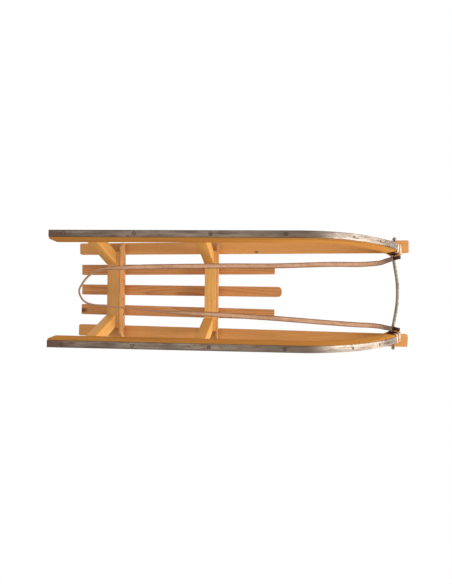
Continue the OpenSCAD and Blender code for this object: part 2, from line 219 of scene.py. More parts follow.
def sweep(name, rings):
    """Closed mesh through rings that all have the same number of points."""
    n = len(rings[0])
    verts = [p for ring in rings for p in ring]
    faces = [(a * n + k, a * n + (k + 1) % n, (a + 1) * n + (k + 1) % n, (a + 1) * n + k)
             for a in range(len(rings) - 1) for k in range(n)]
    faces.append(tuple(range(n - 1, -1, -1)))
    faces.append(tuple((len(rings) - 1) * n + k for k in range(n)))
    obj = mesh_object(name, verts, faces)
    with editing(obj) as bm:
        bmesh.ops.recalc_face_normals(bm, faces=bm.faces[:])
    return obj


def lathe_faces(sides, count, closed):
    """Faces between neighbouring outlines round an axis, each outline with count points."""
    return [(k * count + j, (k + 1) % sides * count + j, (k + 1) % sides * count + (j + 1) % count,
             k * count + (j + 1) % count)
            for k in range(sides) for j in range(count if closed else count - 1)]


def turned(name, profile, axis_at, direction, sides, closed=False):
    """Solid of revolution: profile is (radius, distance along the axis), closed for a ring with a bore."""
    frame_z = direction.normalized()
    frame_x = frame_z.orthogonal().normalized()
    frame_y = frame_z.cross(frame_x)
    verts = [axis_at + frame_z * h + (frame_x * math.cos(a) + frame_y * math.sin(a)) * r
             for a in (math.tau * k / sides for k in range(sides)) for r, h in profile]
    obj = mesh_object(name, verts, lathe_faces(sides, len(profile), closed))
    with editing(obj) as bm:
        bmesh.ops.remove_doubles(bm, verts=bm.verts[:], dist=1e-7)
        bmesh.ops.recalc_face_normals(bm, faces=bm.faces[:])
    return obj


def join(name, objects):
    """One object out of several."""
    bm = bmesh.new()
    for obj in objects:
        bm.from_mesh(obj.data)
        bpy.data.objects.remove(obj)
    return from_bmesh(name, bm)


def mirror(obj):
    """Moves a piece to the other side of the middle plane."""
    obj.data.transform(Matrix.Scale(-1, 4, (0, 1, 0)))
    obj.data.flip_normals()


def islands(node):
    """Lowest and highest corner of each separate solid of a CAD node."""
    bm = bmesh.new()
    bm.from_mesh(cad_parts[node].data)
    bmesh.ops.remove_doubles(bm, verts=bm.verts[:], dist=1e-6)
    seen, found = set(), []
    for first in bm.verts:
        if first.index in seen:
            continue
        group, todo = [], [first]
        seen.add(first.index)
        while todo:
            v = todo.pop()
            group.append(v.co.copy())
            for e in v.link_edges:
                w = e.other_vert(v)
                if w.index not in seen:
                    seen.add(w.index)
                    todo.append(w)
        found.append((Vector(map(min, *group)), Vector(map(max, *group))))
    bm.free()
    return found


def hull(name, points):
    """Convex solid round some points, with its flat faces whole."""
    bm = bmesh.new()
    for p in points:
        bm.verts.new(p)
    bmesh.ops.remove_doubles(bm, verts=bm.verts[:], dist=1e-6)
    made = bmesh.ops.convex_hull(bm, input=bm.verts[:])
    spare = {g for key in ("geom_interior", "geom_unused") for g in made[key]
             if isinstance(g, bmesh.types.BMVert)}
    bmesh.ops.delete(bm, geom=list(spare), context="VERTS")
    bmesh.ops.dissolve_limit(bm, angle_limit=math.radians(0.6), verts=bm.verts[:], edges=bm.edges[:])
    return from_bmesh(name, bm)


def node_points(node, low=-1.0, high=1.0):
    """A CAD node's vertices between two heights."""
    return [v.co.copy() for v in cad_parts[node].data.vertices if low <= v.co.z <= high]


def recess(at, into):
    """Cutter for a countersunk head, with a fine gap round it."""
    gap = 0.35 * MM
    flare = (HEAD_R - SHANK_R) / HEAD_H
    out = 1.0 * MM
    profile = [(0, -out), (HEAD_R + gap + flare * out, -out), (SHANK_R + gap, HEAD_H),
               (SHANK_R + gap, HEAD_H + out), (0, HEAD_H + out)]
    return turned("cutter", profile, at, into, 40)


# ---- runner geometry ----

def runner_y(x, z):
    """Middle of the left runner at a place along the sledge and a height."""
    return REAR_TRACK / 2 + (x + HALF_LEN) * math.tan(TOE_OUT) - z * math.tan(LEAN)


def sole_stations(end_angle):
    """(x, angle) along the runner: straight at angle 0, then round the toe."""
    flat_step, arc_step = 0.012, 1.2
    flats = round((ARC_X + HALF_LEN) / flat_step)
    arcs = round(math.degrees(end_angle) / arc_step)
    straight = [(-HALF_LEN + (ARC_X + HALF_LEN) * k / flats, 0.0) for k in range(flats)]
    return straight + [(ARC_X, end_angle * k / arcs) for k in range(arcs + 1)]


def on_runner(x, angle, height, across):
    """Point of the left runner: height from the sole, across from the runner's middle plane."""
    r = TOE_R - height
    px = x + r * math.sin(angle)
    pz = TOE_R - r * math.cos(angle)
    return Vector((px, runner_y(px, pz) + across / math.cos(LEAN), pz))


def runner_layer(name, low, high, width, end_angle, shift=0.0):
    """Bar that follows the sole between two heights, with a slightly sloping rear end."""
    inner, outer = shift - width / 2, shift + width / 2
    corners = ((low, inner), (low, outer), (high, outer), (high, inner))
    rings = [[on_runner(x, a, h, w) for h, w in corners] for x, a in sole_stations(end_angle)]
    rings[0] = [on_runner(-HALF_LEN + END_SLOPE * (h - low), 0, h, w) for h, w in corners]
    return sweep(name, rings)


def clip(obj, point, normal):
    """Cuts a closed piece off at a plane and closes it again."""
    with editing(obj) as bm:
        everything = bm.verts[:] + bm.edges[:] + bm.faces[:]
        bmesh.ops.bisect_plane(bm, geom=everything, plane_co=point, plane_no=normal, clear_outer=True)
        bmesh.ops.holes_fill(bm, edges=[e for e in bm.edges if e.is_boundary], sides=0)
        bmesh.ops.recalc_face_normals(bm, faces=bm.faces[:])


def merge_flats(obj):
    """Makes one face of each flat side, so that only the true edges are left."""
    with editing(obj) as bm:
        bmesh.ops.dissolve_limit(bm, angle_limit=math.radians(0.3), verts=bm.verts[:], edges=bm.edges[:])


def shoe_screw_places():
    """Place on the sole and direction into the wood of each shoe screw of the left runner."""
    places = [(on_runner(x, 0, 0, SHOE_SHIFT), Vector((0, 0, 1))) for x in SHOE_SCREW_X]
    for degrees in SHOE_SCREW_ANGLE:
        a = math.radians(degrees)
        places.append((on_runner(ARC_X, a, 0, SHOE_SHIFT), Vector((-math.sin(a), 0, math.cos(a)))))
    return places


# ---- materials ----

class Shader:
    """A material's node tree, with short calls for the nodes that are used most."""

    def __init__(self, name):
        self.material = bpy.data.materials.new(name)
        self.material.use_nodes = True
        self.tree = self.material.node_tree
        self.surface = self.tree.nodes["Principled BSDF"]

    def node(self, kind, inputs=(), **settings):
        made = self.tree.nodes.new(kind)
        for key, value in settings.items():
            setattr(made, key, value)
        for key, value in dict(inputs).items():
            self.feed(made.inputs[key], value)
        return made

    def feed(self, socket, value):
        if isinstance(value, bpy.types.NodeSocket):
            self.tree.links.new(value, socket)
        else:
            socket.default_value = value

    def math(self, operation, a, b=0.0, clamp=False):
        return self.node("ShaderNodeMath", {0: a, 1: b}, operation=operation, use_clamp=clamp).outputs[0]

    def times(self, a, b, clamp=False):
        return self.math("MULTIPLY", a, b, clamp)

    def remap(self, value, low, high, to_low=0.0, to_high=1.0, kind="SMOOTHSTEP"):
        made = self.node("ShaderNodeMapRange", interpolation_type=kind)
        for k, v in enumerate((value, low, high, to_low, to_high)):
            self.feed(made.inputs[k], v)
        return made.outputs[0]

    def mix(self, factor, a, b, blend="MIX"):
        made = self.node("ShaderNodeMix", data_type="RGBA", blend_type=blend)
        self.feed(made.inputs[0], factor)
        self.feed(made.inputs[6], a if isinstance(a, bpy.types.NodeSocket) else (*a, 1))
        self.feed(made.inputs[7], b if isinstance(b, bpy.types.NodeSocket) else (*b, 1))
        return made.outputs[2]

    def vector_math(self, operation, a, b=(0, 0, 0)):
        made = self.node("ShaderNodeVectorMath", {0: a, 1: b}, operation=operation)
        return made.outputs["Value" if operation in ("LENGTH", "DISTANCE", "DOT_PRODUCT") else "Vector"]

    def scaled(self, vector, scale):
        return self.node("ShaderNodeMapping", {"Vector": vector, "Scale": scale}).outputs[0]

    def noise(self, vector, scale, detail=2.0, roughness=0.5, out="Fac"):
        """Noise with its own scale, in features per metre, along each axis."""
        made = self.node("ShaderNodeTexNoise", {"Vector": self.scaled(vector, scale), "Scale": 1.0,
                                                "Detail": detail, "Roughness": roughness})
        return made.outputs[out]

    def spots(self, vector, scale):
        """Distance to the nearest of some scattered points."""
        made = self.node("ShaderNodeTexVoronoi", {"Vector": self.scaled(vector, scale), "Scale": 1.0})
        return made.outputs["Distance"]

    def place(self):
        return self.node("ShaderNodeTexCoord").outputs["Object"]

    def split(self, vector):
        return self.node("ShaderNodeSeparateXYZ", {0: vector}).outputs

    def vector(self, x, y, z):
        return self.node("ShaderNodeCombineXYZ", {0: x, 1: y, 2: z}).outputs[0]

    def bump(self, height, distance, strength):
        made = self.node("ShaderNodeBump", {"Height": height, "Distance": distance, "Strength": strength})
        return made.outputs[0]

    def edge(self, radius):
        """0 on flat faces, rising to 1 on sharp edges."""
        rounded = self.node("ShaderNodeBevel", {"Radius": radius}, samples=6).outputs[0]
        true = self.node("ShaderNodeNewGeometry").outputs["Normal"]
        return self.remap(self.vector_math("DOT_PRODUCT", rounded, true), 0.995, 0.80)

    def finish(self, **sockets):
        names = {"color": "Base Color", "rough": "Roughness", "metal": "Metallic", "normal": "Normal",
                 "specular": "Specular IOR Level"}
        for key, value in sockets.items():
            self.feed(self.surface.inputs[names[key]], value)
        return self.material


def srgb(r, g, b):
    """A colour as it looks on screen, 0 to 255, as linear light."""
    return tuple(((c / 255 + 0.055) / 1.055) ** 2.4 if c > 10 else c / 255 / 12.92 for c in (r, g, b))


def shade(colour, amount):
    """A colour made darker, or lighter when the amount is over 1."""
    return tuple(min(1, c * amount) for c in colour)


def length_of(sh, a, b):
    """Length of a vector with two parts."""
    return sh.math("SQRT", sh.math("ADD", sh.times(a, a), sh.times(b, b)))


def bent_grain(sh):
    """Coordinates along, across and through a runner, which follow its curve round the toe."""
    x, y, z = sh.split(sh.place())
    dx = sh.math("MAXIMUM", sh.math("SUBTRACT", x, ARC_X), 0.0)
    dz = sh.math("SUBTRACT", TOE_R, z)
    turn = sh.times(sh.math("ARCTAN2", dx, dz), TOE_R)
    along = sh.math("ADD", sh.math("MINIMUM", x, ARC_X), turn)
    return sh.vector(along, y, sh.math("SUBTRACT", TOE_R, length_of(sh, dx, dz)))


def straight_grain(sh, along):
    """Coordinates along, across and through a straight piece whose grain runs along a direction."""
    a = Vector(along).normalized()
    across = (Vector((0, 1, 0)) if abs(a.y) < 0.7 else Vector((1, 0, 0)))
    across = (across - a * across.dot(a)).normalized()
    rows = Matrix((a, across, a.cross(across)))
    made = sh.node("ShaderNodeMapping", {"Vector": sh.place(), "Rotation": rows.to_euler("XYZ")})
    return made.outputs[0]


def moved_at_random(sh, grain, rng):
    """The grain's coordinates moved, so that no two pieces show the same pattern."""
    return sh.vector_math("ADD", grain, tuple(rng.uniform(-3, 3) for _ in range(3)))


def knot_field(sh, knots):
    """1 in the middle of each knot, falling to 0 round it, or None where there are no knots."""
    field = None
    for at, size in knots:
        away = sh.scaled(sh.vector_math("SUBTRACT", sh.place(), at), (0.55, 1, 1))
        near = sh.remap(sh.vector_math("LENGTH", away), size * 2.6, size * 0.5)
        field = near if field is None else sh.math("MAXIMUM", field, near)
    return field


def late_wood(sh, grain, moved, pith, ring, knot):
    """Dark part of each growth ring, 0 to 1. The rings wander a little and swell round knots."""
    wander = sh.vector_math("SUBTRACT", sh.noise(moved, (1.6, 11, 11), out="Color"), (0.5, 0.5, 0.5))
    wander = sh.vector_math("MULTIPLY", wander, (0, 20 * MM, 20 * MM))
    _, across, through = sh.split(sh.vector_math("ADD", grain, wander))
    radius = length_of(sh, sh.math("SUBTRACT", across, pith[0]), sh.math("SUBTRACT", through, pith[1]))
    if knot is not None:
        radius = sh.math("ADD", radius, sh.times(knot, 6 * MM))
    phase = sh.math("FRACT", sh.math("DIVIDE", radius, ring))
    late = sh.times(sh.math("POWER", phase, 2.5), sh.remap(phase, 1.0, 0.86))
    return sh.times(late, sh.noise(moved, (3, 60, 60)))


def wood(name, light, dark, seed, along=None, ring=0.0035, ring_mix=0.6, pith=(0.06, 0.09), knots=(),
         worn=0.5, gloss=0.20):
    """Varnished wood with growth rings, fibres, pores, knots, worn edges and small dents.

    along is the grain's direction, or None for a runner's bent grain. ring is the distance between
    growth rings, pith is where the tree's middle lies, across and through, and knots are (place, size).
    """
    rng = random.Random(seed)
    sh = Shader(name)
    grain = bent_grain(sh) if along is None else straight_grain(sh, along)
    moved = moved_at_random(sh, grain, rng)
    knot = knot_field(sh, knots)
    late = late_wood(sh, grain, moved, (pith[0] * rng.choice((-1, 1)), pith[1]), ring, knot)
    fibre = sh.noise(moved, (16, 900, 900), detail=3.0, roughness=0.6)
    flecks = sh.remap(sh.noise(moved, (150, 1900, 1900), detail=1.0), 0.63, 0.72)
    patches = sh.noise(moved, (2.2, 18, 18), detail=3.0)

    colour = sh.mix(sh.times(late, 2.0 * ring_mix, clamp=True), light, dark)
    colour = sh.mix(sh.remap(fibre, 0.35, 0.75, 0.0, 0.45, "LINEAR"), colour, dark)
    colour = sh.mix(sh.times(flecks, 0.35), colour, shade(dark, 0.45))
    tint = sh.remap(patches, 0.3, 0.7, 0.86, 1.10, "LINEAR")
    colour = sh.mix(1.0, colour, sh.vector(tint, tint, tint), "MULTIPLY")
    if knot is not None:
        colour = sh.mix(sh.times(knot, 0.85), colour, shade(dark, 0.30))

    edge = sh.edge(2.2 * MM)
    scuff = sh.remap(sh.noise(moved, (30, 60, 60), detail=4.0, roughness=0.7), 0.42, 0.62)
    worn_edge = sh.times(sh.times(edge, scuff), worn)
    colour = sh.mix(worn_edge, colour, shade(dark, 0.42))
    if along is None:  # darker along a runner's shoe
        sole = sh.remap(sh.split(grain)[2], SHOE_T + 1.6 * MM, SHOE_T + 0.6 * MM)
        colour = sh.mix(sh.times(sole, 0.55), colour, shade(dark, 0.6))
    dents = sh.remap(sh.spots(moved, (26, 70, 70)), 0.10, 0.02)
    colour = sh.mix(sh.times(dents, 0.35), colour, shade(dark, 0.4))

    rough = sh.remap(sh.noise(moved, (5, 40, 40), detail=4.0), 0.3, 0.7, 0.44, 0.64, "LINEAR")
    rough = sh.math("ADD", rough, sh.times(worn_edge, 0.25), clamp=True)
    height = sh.math("ADD", sh.times(late, -0.35), sh.times(fibre, 0.5))
    height = sh.math("SUBTRACT", height, sh.times(dents, 1.2))
    return sh.finish(color=colour, rough=rough, normal=sh.bump(height, 0.25 * MM, 0.6), specular=gloss)


def worn_steel(name, seed, base, screws):
    """Steel shoe: scratched lengthwise, rusty in spots, along its edges and at its rear end, and dirty
    round some screws. Where the toe curves up, its colour is made brighter and cooler, partly polish from
    the ground and partly a painted highlight; past that, towards the tip end, it is darkened as painted
    shade."""
    sh = Shader(name)
    grain = bent_grain(sh)
    moved = moved_at_random(sh, grain, random.Random(seed))
    lines = sh.noise(moved, (5, 1100, 1100), detail=4.0, roughness=0.65)
    long_lines = sh.remap(sh.noise(moved, (1.5, 420, 420)), 0.56, 0.68)
    blotch = sh.noise(moved, (16, 90, 90), detail=5.0, roughness=0.62)
    pits = sh.remap(sh.spots(moved, (260, 420, 420)), 0.22, 0.05)
    reach = sh.split(grain)[0]

    rust = sh.remap(sh.noise(moved, (30, 130, 130), detail=6.0, roughness=0.7), 0.53, 0.70)
    edge_rust = sh.times(sh.edge(1.5 * MM), sh.remap(blotch, 0.40, 0.60))
    rust = sh.math("MAXIMUM", rust, sh.times(edge_rust, 0.6))
    rear_rust = sh.times(sh.remap(reach, -0.45, -0.545), sh.remap(blotch, 0.38, 0.56))
    rust = sh.math("MAXIMUM", rust, sh.times(rear_rust, 0.7))

    colour = sh.mix(sh.remap(lines, 0.35, 0.70, kind="LINEAR"), shade(base, 0.62), shade(base, 1.35))
    colour = sh.mix(sh.remap(blotch, 0.42, 0.62, 0.0, 0.55, "LINEAR"), colour, shade(base, 0.55))
    colour = sh.mix(sh.times(long_lines, 0.3), colour, shade(base, 1.8))
    colour = sh.mix(sh.times(rust, 0.85), colour, srgb(112, 66, 44))
    for at in screws:
        away = sh.vector_math("DISTANCE", sh.place(), at)
        dirt = sh.times(sh.remap(away, 7 * MM, 4 * MM), sh.remap(blotch, 0.35, 0.55, 0.5, 0.95))
        colour = sh.mix(dirt, colour, srgb(62, 46, 38))

    # Painted highlight on the toe's curve (brighter, cooler colour, partly real polish), then painted shade
    # towards the tip end
    start, full, fade, end = 0.15, 0.25, 0.38, 0.46
    polish_and_highlight = sh.times(sh.remap(reach, start, full), sh.remap(reach, end, fade))
    highlight_gain = sh.remap(polish_and_highlight, 0.0, 1.0, 1.0, 2.2, "LINEAR")
    highlight_gain = sh.math("ADD", highlight_gain, sh.remap(reach, fade, end, 0.0, -0.70))
    highlight_tint = sh.vector(highlight_gain, sh.math("POWER", highlight_gain, 1.12), sh.math("POWER", highlight_gain, 1.25))
    colour = sh.mix(1.0, colour, highlight_tint, "MULTIPLY")

    metal = sh.remap(rust, 0.1, 0.8, 0.95, 0.15, "LINEAR")
    rough = sh.remap(blotch, 0.3, 0.7, 0.40, 0.60, "LINEAR")
    rough = sh.math("ADD", rough, sh.times(rust, 0.35), clamp=True)
    height = sh.math("SUBTRACT", sh.times(lines, 0.6), sh.times(pits, 0.5))
    height = sh.math("ADD", height, sh.times(rust, 0.5))
    return sh.finish(color=colour, rough=rough, metal=metal, normal=sh.bump(height, 0.12 * MM, 0.4))


def plated_steel(name, base, rough_low, rough_high, rust):
    """Zinc-plated steel: small dull clouds, fine marks and a little dirt."""
    sh = Shader(name)
    place = sh.place()
    clouds = sh.noise(place, (90, 90, 90), detail=5.0, roughness=0.6)
    marks = sh.noise(place, (1500, 1500, 1500))
    colour = sh.mix(sh.remap(clouds, 0.35, 0.65), base, shade(base, 0.72))
    spots = sh.remap(sh.noise(place, (420, 420, 420), detail=4.0, roughness=0.7), 0.62 - rust, 0.74)
    colour = sh.mix(sh.times(spots, 0.8), colour, srgb(104, 70, 48))
    rough = sh.remap(clouds, 0.3, 0.7, rough_low, rough_high, "LINEAR")
    metal = sh.remap(spots, 0.0, 1.0, 0.95, 0.2, "LINEAR")
    return sh.finish(color=colour, rough=rough, metal=metal, normal=sh.bump(marks, 0.04 * MM, 0.2))


PALE = 3.0  # more than any distance along the strap


def leather(name, face, edge_colour, end_and_shade_colour):
    """Worn strap leather: pores, cross creases, dark burnished edges and darker ends. On the pale turns
    the dark edges are partly painted shade between the turns.

    The mesh carries the attribute strap: metres along, -1 to 1 across, and metres from the nearer
    end, or PALE where the strap's paler side is out. Up a tip turn's inner side it is 0, so that
    the end's dark colour is painted there as shade.
    """
    sh = Shader(name)
    strap = sh.node("ShaderNodeAttribute", attribute_name="strap").outputs["Vector"]
    along, across, from_end = sh.split(strap)
    flat = sh.vector(along, sh.times(across, STRAP_W / 2), 0.0)
    pores = sh.spots(flat, (1100, 1100, 1100))
    mottle = sh.noise(flat, (55, 140, 1), detail=5.0, roughness=0.62)
    long_mottle = sh.noise(flat, (7, 30, 1), detail=3.0)
    creases = sh.remap(sh.noise(flat, (420, 55, 1), detail=3.0, roughness=0.6), 0.56, 0.66)
    out = sh.math("ABSOLUTE", across)
    rim = sh.times(sh.remap(out, 0.42, 0.85), sh.remap(out, 0.93, 1.0, 1.0, 0.35))
    rim = sh.times(rim, sh.remap(mottle, 0.30, 0.50, 0.75, 1.0))

    colour = sh.mix(sh.remap(mottle, 0.35, 0.68), face, shade(face, 0.78))
    colour = sh.mix(sh.remap(long_mottle, 0.45, 0.65, 0.0, 0.28), colour, edge_colour)
    colour = sh.mix(sh.times(creases, 0.40), colour, shade(edge_colour, 0.6))
    colour = sh.mix(sh.times(rim, 0.85), colour, edge_colour)
    # Darker towards the ends; the same dark colour paints shade up a tip turn's inner side
    far = sh.math("ADD", from_end, sh.times(sh.math("SUBTRACT", mottle, 0.5), 0.06))
    colour = sh.mix(sh.remap(far, 0.27, 0.13), colour, end_and_shade_colour)
    pale = sh.mix(sh.remap(mottle, 0.38, 0.62), srgb(232, 206, 182), srgb(190, 140, 114))
    # Dark rims on the pale turns: partly burnished edges, partly painted shade in the gaps between the turns
    pale = sh.mix(sh.times(rim, 0.75), pale, edge_colour)
    colour = sh.mix(sh.remap(from_end, PALE - 1, PALE), colour, pale)
    rough = sh.remap(mottle, 0.3, 0.7, 0.60, 0.80, "LINEAR")
    height = sh.math("SUBTRACT", sh.times(pores, 0.35), sh.times(creases, 0.8))
    height = sh.math("ADD", height, sh.times(sh.noise(sh.place(), (900, 900, 900)), 0.4))
    return sh.finish(color=colour, rough=rough, normal=sh.bump(height, 0.18 * MM, 0.7), specular=0.08)


# ---- strap ----

def spline(points, u):
    """Catmull-Rom curve through the points, all coordinates alike."""
    last = len(points) - 1
    i = min(int(u), last - 1)
    t = u - i
    near = (points[min(max(j, 0), last)] for j in (i - 1, i, i + 1, i + 2))
    return [0.5 * (2 * q + (r - p) * t + (2 * p - 5 * q + 4 * r - s) * t * t
                   + (3 * q - p - 3 * r + s) * t ** 3) for p, q, r, s in zip(*near)]


def heading(points, k):
    """Direction of a row of points at one of them."""
    return points[min(k + 1, len(points) - 1)] - points[max(k - 1, 0)]


def band_section(width, thick):
    """A band's outline: flat faces with a shallow crease near each edge, and rounded edges."""
    half, t, r = width / 2, thick / 2, 0.9 * MM
    crease = 0.16 * MM
    ridge = [(half * 0.3, t), (half * 0.66, t), (half * 0.70, t - crease), (half * 0.74, t), (half - r, t)]
    top = [(-across, up) for across, up in reversed(ridge)] + ridge
    side = [(half - r * 0.3, t - r * 0.3), (half, t - r), (half, r - t), (half - r * 0.3, r * 0.3 - t)]
    return [(sign * across, sign * up) for sign in (1, -1) for across, up in top + side]


def band(name, centres, sides, faces, width, thick, end_distances_and_shade=None):
    """Flat band along some points, whose width lies along sides and whose thickness lies along faces.

    end_distances_and_shade is the leather's distance from the nearer end at each point, where it isn't the
    band's own.
    A 0 gives the end's dark colour, which tip_turn also uses as painted shade.
    """
    section = band_section(width, thick)
    rings = [[c + s * q + f * r for q, r in section] for c, s, f in zip(centres, sides, faces)]
    obj = sweep(name, rings)
    lengths = [0.0]
    for a, b in zip(centres, centres[1:]):
        lengths.append(lengths[-1] + (b - a).length)
    if end_distances_and_shade is None:
        end_distances_and_shade = [min(s, lengths[-1] - s) for s in lengths]
    values = []
    for s, from_end in zip(lengths, end_distances_and_shade):
        for q, _ in section:
            values += (s, q / (width / 2), from_end)
    layer = obj.data.attributes.new("strap", "FLOAT_VECTOR", "POINT")
    layer.data.foreach_set("vector", values)
    return obj


def make_pull_strap(material):
    """One long flat strap: it hangs behind the rod, lies on the ground and turns back under the seat.

    Where it stands on its edge, its roll wanders a few degrees.
    """
    steps = 14
    samples = [spline(STRAP_ROUTE, k / steps) for k in range(steps * (len(STRAP_ROUTE) - 1) + 1)]
    centres = [Vector(s[:3]) for s in samples]
    sides, faces = [], []
    for k, sample in enumerate(samples):
        ahead = heading(centres, k).normalized()
        level = Vector((0, 0, 1)).cross(ahead).normalized()
        wander = 5.0 * noise.noise(Vector((k * 0.035, 4.2, 0)))
        on_edge = min(1.0, abs(sample[3]) / 30)
        roll = math.radians(sample[3] + wander * on_edge)
        upright = ahead.cross(level)
        sides.append(level * math.cos(roll) + upright * math.sin(roll))
        faces.append(upright * math.cos(roll) - level * math.sin(roll))
    strap = band("pull_strap_leather", centres, sides, faces, STRAP_W, STRAP_T - 0.4 * MM)
    dress(strap, "pull_strap", material, 50)


strap_leather = leather("strap_leather", srgb(216, 168, 134), srgb(134, 88, 60), srgb(66, 34, 15))
make_pull_strap(strap_leather)


# ---- runners and shoes ----

def make_runner(side, seed):
    """Bent runner, cut off level under the slat and upright at its tip."""
    past_tip = math.radians(60)
    obj = runner_layer(f"runner_{side}_wood", SHOE_T, RUNNER_TOP, RUNNER_T, past_tip)
    clip(obj, (0, 0, SLAT_Z), (0, 0, 1))
    clip(obj, (TIP_X, 0, 0), (1, 0, 0))
    merge_flats(obj)
    bevel(obj, 1.4 * MM)
    if side == "right":
        mirror(obj)
    look = wood(f"runner_{side}", srgb(232, 164, 84), srgb(186, 118, 54), seed, ring=0.0042, ring_mix=0.42,
                pith=(0.10, 0.05), worn=0.65, gloss=0.0)
    dress(obj, f"runner_{side}", look)


def make_shoe(side, seed):
    obj = runner_layer(f"runner_shoe_{side}_steel", 0, SHOE_T, SHOE_W, SHOE_END, SHOE_SHIFT)
    merge_flats(obj)
    bevel(obj, 0.7 * MM)
    cut(obj, [recess(at, into) for at, into in shoe_screw_places()])
    if side == "right":
        mirror(obj)
    hand = Vector((1, -1 if side == "right" else 1, 1))
    flat_screws = [at * hand for at, into in shoe_screw_places() if into.x == 0]
    look = worn_steel(f"shoe_{side}", seed, srgb(126, 111, 98), flat_screws)
    dress(obj, f"runner_shoe_{side}", look)


for name, number in (("left", 11), ("right", 12)):
    make_runner(name, number)
    make_shoe(name, number + 23)


# ---- trestles ----

# Both crossbars are the same wood; the rear one's colours are darkened as painted shade, the light falling
# off towards the rear
CROSSBAR_WOOD_AND_SHADE = {
    "rear": (srgb(202, 148, 84), srgb(156, 102, 50)),
    "front": (srgb(240, 182, 98), srgb(192, 128, 60)),
}
PEG_HOLE_R = 0.00412
PEG_HOLE_DEPTH = 0.020


def make_leg(end, side, seed):
    """Slanted leg without its hidden tenons, its grain along it."""
    node = f"{end}_leg_{side}"
    points = node_points(node, RUNNER_TOP - CLOSE, LEG_TOP + CLOSE)
    low = [p for p in points if p.z < RUNNER_TOP + CLOSE]
    high = [p for p in points if p.z > LEG_TOP - CLOSE]
    along = sum(high, Vector()) / len(high) - sum(low, Vector()) / len(low)
    obj = hull(f"{node}_wood", points)
    bevel(obj, 1.6 * MM)
    look = wood(node, srgb(236, 176, 92), srgb(196, 130, 58), seed, along, ring=0.0038, ring_mix=0.40,
                pith=(0.05, 0.05))
    dress(obj, node, look)


def make_crossbar(end, seed):
    """Crossbar with its peg holes, without its hidden mortises."""
    node = f"{end}_crossbar"
    obj = hull(f"{node}_wood", node_points(node))
    bevel(obj, 1.6 * MM)
    lo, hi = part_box(node)
    hole = [(0, -MM), (PEG_HOLE_R, -MM), (PEG_HOLE_R, PEG_HOLE_DEPTH), (0, PEG_HOLE_DEPTH)]
    middles = [(a + b) / 2 for a, b in islands("leg_pegs") if lo.x - CLOSE < a.x < hi.x]
    cut(obj, [turned("hole", hole, Vector((lo.x, at.y, at.z)), Vector((1, 0, 0)), 40) for at in middles])
    light, dark = CROSSBAR_WOOD_AND_SHADE[end]
    look = wood(node, light, dark, seed, (0, 1, 0), ring=0.0036, ring_mix=0.45, pith=(0.03, 0.16))
    dress(obj, node, look)


def screw_recesses(node, into, keep):
    """Cutters for a CAD node's screws, which are driven in one way, where keep accepts the head's place."""
    cutters = []
    for lo, hi in islands(node):
        middle = (lo + hi) / 2
        at = Vector([a if way > 0 else b if way < 0 else c for a, b, c, way in zip(lo, hi, middle, into)])
        if keep(at):
            cutters.append(recess(at, Vector(into)))
    return cutters


def make_board(end, seed):
    """Board on edge, with the countersinks in its front face."""
    node = f"{end}_seat_board"
    obj = hull(f"{node}_wood", node_points(node))
    bevel(obj, 1.0 * MM)
    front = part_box(node)[1].x
    cut(obj, screw_recesses("board_screws", (-1, 0, 0), lambda at: abs(at.x - front) < MM))
    look = wood(node, srgb(232, 174, 112), srgb(182, 116, 66), seed, (0, 1, 0), ring=0.0030, ring_mix=0.6,
                pith=(0.02, 0.10))
    dress(obj, node, look)


for number, name in enumerate(("rear", "front")):
    make_crossbar(name, 30 + number)
    make_board(name, 40 + number)
    for hand in ("left", "right"):
        make_leg(name, hand, 50 + 2 * number + (hand == "left"))


# ---- seat ----

def make_slat(node, colours, seed, knots=()):
    """Seat slat with the countersinks in its upper face. Beside the middle the grain runs slightly askew."""
    obj = hull(f"{node}_wood", node_points(node))
    bevel(obj, 1.5 * MM)
    lo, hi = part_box(node)

    def above(at):
        return lo.x < at.x < hi.x and lo.y < at.y < hi.y

    down = (0, 0, -1)
    cut(obj, screw_recesses("slat_screws", down, above) + screw_recesses("tip_screws", down, above))
    side = 0 if abs(lo.y + hi.y) < 10 * MM else math.copysign(1, lo.y)
    askew = (hi.y - lo.y) / (hi.x - lo.x) * 0.35 * side
    look = wood(node, *colours, seed, (1, askew, 0), ring=0.0026, ring_mix=0.75, pith=(0.012, 0.055),
                knots=knots, worn=0.6)
    dress(obj, node, look)


OUTER = (srgb(228, 164, 94), srgb(182, 114, 54))
INNER = (srgb(212, 148, 88), srgb(158, 94, 48))
make_slat("outer_slat_left", OUTER, 61)
make_slat("outer_slat_right", OUTER, 62, knots=[((0.040, -0.1325, SLAT_Z), 0.0022)])
make_slat("inner_slat_left", INNER, 63, knots=[((-0.536, 0.069, SLAT_Z), 0.0045)])
make_slat("inner_slat_right", INNER, 64)
make_slat("centre_slat", INNER, 65)


# ---- rod, nuts and washers ----

ROD_SIDES = 40
THREAD_PITCH = 1.0 * MM
BORE_R = THREAD_R + 0.1 * MM  # of the washers and nuts


def round_angles(sides):
    return [math.tau * k / sides for k in range(sides)]


def bowed_rings():
    """Rings along the rod's bow, each square to its curve."""
    steps = 90
    rings = []
    for k in range(steps + 1):
        y = ROD_BOW_Y * (2 * k / steps - 1)
        rest = 1 - (y / ROD_BOW_Y) ** 2
        bow = ROD_BOW * rest ** ROD_BOW_POWER
        slope = -2 * ROD_BOW * ROD_BOW_POWER * y / ROD_BOW_Y ** 2 * rest ** (ROD_BOW_POWER - 1)
        across = Vector((1, -slope, 0)).normalized()
        centre = Vector((ROD_X + bow, y, ROD_Z))
        rings.append([centre + (across * math.cos(a) + Vector((0, 0, 1)) * math.sin(a)) * ROD_R
                      for a in round_angles(ROD_SIDES)])
    return rings


def straight_ring(y, radius_at):
    """Ring round one of the rod's straight ends, whose radius depends on the angle."""
    return [Vector((ROD_X + radius_at(a) * math.cos(a), y, ROD_Z + radius_at(a) * math.sin(a)))
            for a in round_angles(ROD_SIDES)]


